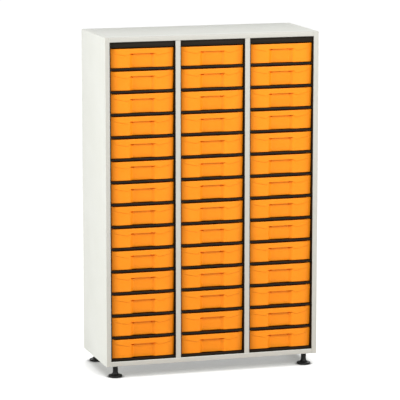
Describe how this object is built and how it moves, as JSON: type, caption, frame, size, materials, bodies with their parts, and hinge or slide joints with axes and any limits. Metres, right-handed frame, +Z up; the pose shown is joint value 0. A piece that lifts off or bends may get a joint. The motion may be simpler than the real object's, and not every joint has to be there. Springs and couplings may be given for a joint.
{
  "type": "tray storage cabinet",
  "caption": "Tall open-fronted white board cabinet with columns of shallow orange plastic trays that slide out on black runner liners, on black levelling feet.",
  "frame": {"origin": "on the floor, under the middle of the carcass", "axes": "+Z up, -Y out of the front where the trays pull out, +X to the right seen from the front"},
  "size_m": [1.06, 0.44, 1.636],
  "materials": {
    "white_board": "matt white melamine facing on particle board, white edging",
    "back_board": "white faced fibre board",
    "black_liner": "black moulded plastic, satin",
    "orange_tray": "orange moulded plastic, satin",
    "black_foot": "black moulded plastic, satin",
    "zinc_stud": "bright zinc plate"
  },
  "bodies": {
    "carcass": {"left_side_panel": "white_board", "right_side_panel": "white_board", "top_panel": "white_board", "bottom_panel": "white_board", "left_divider": "white_board", "right_divider": "white_board", "back_panel": "back_board", "left_runner_liner": "black_liner", "middle_runner_liner": "black_liner", "right_runner_liner": "black_liner"},
    "levelling_foot_front_left": {"foot_front_left": "black_foot", "foot_front_left_stud": "zinc_stud"},
    "levelling_foot_front_right": {"foot_front_right": "black_foot", "foot_front_right_stud": "zinc_stud"},
    "levelling_foot_rear_left": {"foot_rear_left": "black_foot", "foot_rear_left_stud": "zinc_stud"},
    "levelling_foot_rear_right": {"foot_rear_right": "black_foot", "foot_rear_right_stud": "zinc_stud"},
    "tray_left_01_drawer": {"tray_left_01": "orange_tray"},
    "tray_left_02_drawer": {"tray_left_02": "orange_tray"},
    "tray_left_03_drawer": {"tray_left_03": "orange_tray"},
    "tray_left_04_drawer": {"tray_left_04": "orange_tray"},
    "tray_left_05_drawer": {"tray_left_05": "orange_tray"},
    "tray_left_06_drawer": {"tray_left_06": "orange_tray"},
    "tray_left_07_drawer": {"tray_left_07": "orange_tray"},
    "tray_left_08_drawer": {"tray_left_08": "orange_tray"},
    "tray_left_09_drawer": {"tray_left_09": "orange_tray"},
    "tray_left_10_drawer": {"tray_left_10": "orange_tray"},
    "tray_left_11_drawer": {"tray_left_11": "orange_tray"},
    "tray_left_12_drawer": {"tray_left_12": "orange_tray"},
    "tray_left_13_drawer": {"tray_left_13": "orange_tray"},
    "tray_left_14_drawer": {"tray_left_14": "orange_tray"},
    "tray_middle_01_drawer": {"tray_middle_01": "orange_tray"},
    "tray_middle_02_drawer": {"tray_middle_02": "orange_tray"},
    "tray_middle_03_drawer": {"tray_middle_03": "orange_tray"},
    "tray_middle_04_drawer": {"tray_middle_04": "orange_tray"},
    "tray_middle_05_drawer": {"tray_middle_05": "orange_tray"},
    "tray_middle_06_drawer": {"tray_middle_06": "orange_tray"},
    "tray_middle_07_drawer": {"tray_middle_07": "orange_tray"},
    "tray_middle_08_drawer": {"tray_middle_08": "orange_tray"},
    "tray_middle_09_drawer": {"tray_middle_09": "orange_tray"},
    "tray_middle_10_drawer": {"tray_middle_10": "orange_tray"},
    "tray_middle_11_drawer": {"tray_middle_11": "orange_tray"},
    "tray_middle_12_drawer": {"tray_middle_12": "orange_tray"},
    "tray_middle_13_drawer": {"tray_middle_13": "orange_tray"},
    "tray_middle_14_drawer": {"tray_middle_14": "orange_tray"},
    "tray_right_01_drawer": {"tray_right_01": "orange_tray"},
    "tray_right_02_drawer": {"tray_right_02": "orange_tray"},
    "tray_right_03_drawer": {"tray_right_03": "orange_tray"},
    "tray_right_04_drawer": {"tray_right_04": "orange_tray"},
    "tray_right_05_drawer": {"tray_right_05": "orange_tray"},
    "tray_right_06_drawer": {"tray_right_06": "orange_tray"},
    "tray_right_07_drawer": {"tray_right_07": "orange_tray"},
    "tray_right_08_drawer": {"tray_right_08": "orange_tray"},
    "tray_right_09_drawer": {"tray_right_09": "orange_tray"},
    "tray_right_10_drawer": {"tray_right_10": "orange_tray"},
    "tray_right_11_drawer": {"tray_right_11": "orange_tray"},
    "tray_right_12_drawer": {"tray_right_12": "orange_tray"},
    "tray_right_13_drawer": {"tray_right_13": "orange_tray"},
    "tray_right_14_drawer": {"tray_right_14": "orange_tray"}
  },
  "joints": [
    {"name": "foot_front_left_turn", "type": "hinge", "parent": "carcass", "child": "levelling_foot_front_left", "pos_m": [-0.477, -0.18, 0.058], "axis": [0, 0, 1], "continuous": true},
    {"name": "foot_front_right_turn", "type": "hinge", "parent": "carcass", "child": "levelling_foot_front_right", "pos_m": [0.477, -0.18, 0.058], "axis": [0, 0, 1], "continuous": true},
    {"name": "foot_rear_left_turn", "type": "hinge", "parent": "carcass", "child": "levelling_foot_rear_left", "pos_m": [-0.477, 0.18, 0.058], "axis": [0, 0, 1], "continuous": true},
    {"name": "foot_rear_right_turn", "type": "hinge", "parent": "carcass", "child": "levelling_foot_rear_right", "pos_m": [0.477, 0.18, 0.058], "axis": [0, 0, 1], "continuous": true},
    {"name": "tray_left_01_slide", "type": "slide", "parent": "carcass", "child": "tray_left_01_drawer", "axis": [0, -1, 0], "range_m": [0, 0.3]},
    {"name": "tray_left_02_slide", "type": "slide", "parent": "carcass", "child": "tray_left_02_drawer", "axis": [0, -1, 0], "range_m": [0, 0.3]},
    {"name": "tray_left_03_slide", "type": "slide", "parent": "carcass", "child": "tray_left_03_drawer", "axis": [0, -1, 0], "range_m": [0, 0.3]},
    {"name": "tray_left_04_slide", "type": "slide", "parent": "carcass", "child": "tray_left_04_drawer", "axis": [0, -1, 0], "range_m": [0, 0.3]},
    {"name": "tray_left_05_slide", "type": "slide", "parent": "carcass", "child": "tray_left_05_drawer", "axis": [0, -1, 0], "range_m": [0, 0.3]},
    {"name": "tray_left_06_slide", "type": "slide", "parent": "carcass", "child": "tray_left_06_drawer", "axis": [0, -1, 0], "range_m": [0, 0.3]},
    {"name": "tray_left_07_slide", "type": "slide", "parent": "carcass", "child": "tray_left_07_drawer", "axis": [0, -1, 0], "range_m": [0, 0.3]},
    {"name": "tray_left_08_slide", "type": "slide", "parent": "carcass", "child": "tray_left_08_drawer", "axis": [0, -1, 0], "range_m": [0, 0.3]},
    {"name": "tray_left_09_slide", "type": "slide", "parent": "carcass", "child": "tray_left_09_drawer", "axis": [0, -1, 0], "range_m": [0, 0.3]},
    {"name": "tray_left_10_slide", "type": "slide", "parent": "carcass", "child": "tray_left_10_drawer", "axis": [0, -1, 0], "range_m": [0, 0.3]},
    {"name": "tray_left_11_slide", "type": "slide", "parent": "carcass", "child": "tray_left_11_drawer", "axis": [0, -1, 0], "range_m": [0, 0.3]},
    {"name": "tray_left_12_slide", "type": "slide", "parent": "carcass", "child": "tray_left_12_drawer", "axis": [0, -1, 0], "range_m": [0, 0.3]},
    {"name": "tray_left_13_slide", "type": "slide", "parent": "carcass", "child": "tray_left_13_drawer", "axis": [0, -1, 0], "range_m": [0, 0.3]},
    {"name": "tray_left_14_slide", "type": "slide", "parent": "carcass", "child": "tray_left_14_drawer", "axis": [0, -1, 0], "range_m": [0, 0.3]},
    {"name": "tray_middle_01_slide", "type": "slide", "parent": "carcass", "child": "tray_middle_01_drawer", "axis": [0, -1, 0], "range_m": [0, 0.3]},
    {"name": "tray_middle_02_slide", "type": "slide", "parent": "carcass", "child": "tray_middle_02_drawer", "axis": [0, -1, 0], "range_m": [0, 0.3]},
    {"name": "tray_middle_03_slide", "type": "slide", "parent": "carcass", "child": "tray_middle_03_drawer", "axis": [0, -1, 0], "range_m": [0, 0.3]},
    {"name": "tray_middle_04_slide", "type": "slide", "parent": "carcass", "child": "tray_middle_04_drawer", "axis": [0, -1, 0], "range_m": [0, 0.3]},
    {"name": "tray_middle_05_slide", "type": "slide", "parent": "carcass", "child": "tray_middle_05_drawer", "axis": [0, -1, 0], "range_m": [0, 0.3]},
    {"name": "tray_middle_06_slide", "type": "slide", "parent": "carcass", "child": "tray_middle_06_drawer", "axis": [0, -1, 0], "range_m": [0, 0.3]},
    {"name": "tray_middle_07_slide", "type": "slide", "parent": "carcass", "child": "tray_middle_07_drawer", "axis": [0, -1, 0], "range_m": [0, 0.3]},
    {"name": "tray_middle_08_slide", "type": "slide", "parent": "carcass", "child": "tray_middle_08_drawer", "axis": [0, -1, 0], "range_m": [0, 0.3]},
    {"name": "tray_middle_09_slide", "type": "slide", "parent": "carcass", "child": "tray_middle_09_drawer", "axis": [0, -1, 0], "range_m": [0, 0.3]},
    {"name": "tray_middle_10_slide", "type": "slide", "parent": "carcass", "child": "tray_middle_10_drawer", "axis": [0, -1, 0], "range_m": [0, 0.3]},
    {"name": "tray_middle_11_slide", "type": "slide", "parent": "carcass", "child": "tray_middle_11_drawer", "axis": [0, -1, 0], "range_m": [0, 0.3]},
    {"name": "tray_middle_12_slide", "type": "slide", "parent": "carcass", "child": "tray_middle_12_drawer", "axis": [0, -1, 0], "range_m": [0, 0.3]},
    {"name": "tray_middle_13_slide", "type": "slide", "parent": "carcass", "child": "tray_middle_13_drawer", "axis": [0, -1, 0], "range_m": [0, 0.3]},
    {"name": "tray_middle_14_slide", "type": "slide", "parent": "carcass", "child": "tray_middle_14_drawer", "axis": [0, -1, 0], "range_m": [0, 0.3]},
    {"name": "tray_right_01_slide", "type": "slide", "parent": "carcass", "child": "tray_right_01_drawer", "axis": [0, -1, 0], "range_m": [0, 0.3]},
    {"name": "tray_right_02_slide", "type": "slide", "parent": "carcass", "child": "tray_right_02_drawer", "axis": [0, -1, 0], "range_m": [0, 0.3]},
    {"name": "tray_right_03_slide", "type": "slide", "parent": "carcass", "child": "tray_right_03_drawer", "axis": [0, -1, 0], "range_m": [0, 0.3]},
    {"name": "tray_right_04_slide", "type": "slide", "parent": "carcass", "child": "tray_right_04_drawer", "axis": [0, -1, 0], "range_m": [0, 0.3]},
    {"name": "tray_right_05_slide", "type": "slide", "parent": "carcass", "child": "tray_right_05_drawer", "axis": [0, -1, 0], "range_m": [0, 0.3]},
    {"name": "tray_right_06_slide", "type": "slide", "parent": "carcass", "child": "tray_right_06_drawer", "axis": [0, -1, 0], "range_m": [0, 0.3]},
    {"name": "tray_right_07_slide", "type": "slide", "parent": "carcass", "child": "tray_right_07_drawer", "axis": [0, -1, 0], "range_m": [0, 0.3]},
    {"name": "tray_right_08_slide", "type": "slide", "parent": "carcass", "child": "tray_right_08_drawer", "axis": [0, -1, 0], "range_m": [0, 0.3]},
    {"name": "tray_right_09_slide", "type": "slide", "parent": "carcass", "child": "tray_right_09_drawer", "axis": [0, -1, 0], "range_m": [0, 0.3]},
    {"name": "tray_right_10_slide", "type": "slide", "parent": "carcass", "child": "tray_right_10_drawer", "axis": [0, -1, 0], "range_m": [0, 0.3]},
    {"name": "tray_right_11_slide", "type": "slide", "parent": "carcass", "child": "tray_right_11_drawer", "axis": [0, -1, 0], "range_m": [0, 0.3]},
    {"name": "tray_right_12_slide", "type": "slide", "parent": "carcass", "child": "tray_right_12_drawer", "axis": [0, -1, 0], "range_m": [0, 0.3]},
    {"name": "tray_right_13_slide", "type": "slide", "parent": "carcass", "child": "tray_right_13_drawer", "axis": [0, -1, 0], "range_m": [0, 0.3]},
    {"name": "tray_right_14_slide", "type": "slide", "parent": "carcass", "child": "tray_right_14_drawer", "axis": [0, -1, 0], "range_m": [0, 0.3]}
  ]
}
